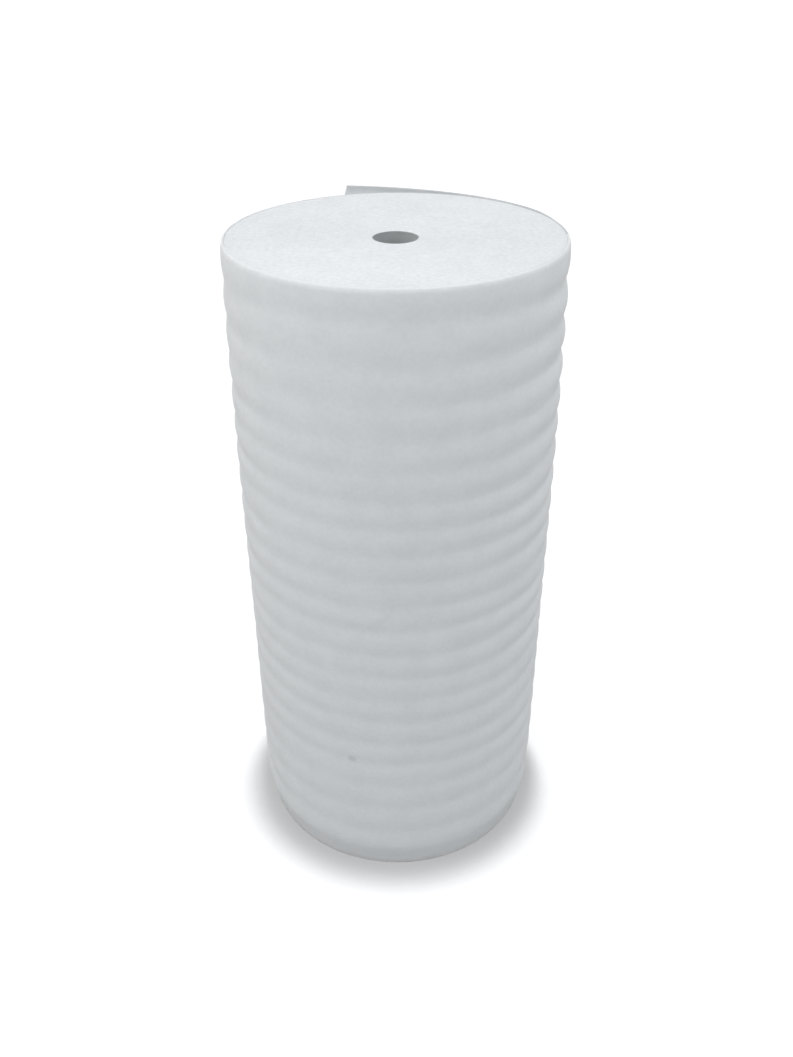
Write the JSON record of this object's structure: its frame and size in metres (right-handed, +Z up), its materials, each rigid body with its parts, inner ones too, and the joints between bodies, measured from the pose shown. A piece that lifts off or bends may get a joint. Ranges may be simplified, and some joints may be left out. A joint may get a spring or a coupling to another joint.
{
  "type": "foam wrap roll",
  "caption": "Coreless roll of white foam wrap standing on its end, with a rippled side wall, wound turns on both ends, an open centre hole and a loose outer end.",
  "frame": {"origin": "on the axis of the centre hole, in the plane of the base that the roll stands on", "axes": "+Z up along the hole's axis, -Y towards the front that the picture shows, loose end at +Y"},
  "size_m": [0.5809, 0.632, 1.2],
  "materials": {
    "foam": "matte white closed-cell foam with a fine cellular grain"
  },
  "bodies": {
    "root": {"foam_roll": "foam"}
  },
  "joints": []
}
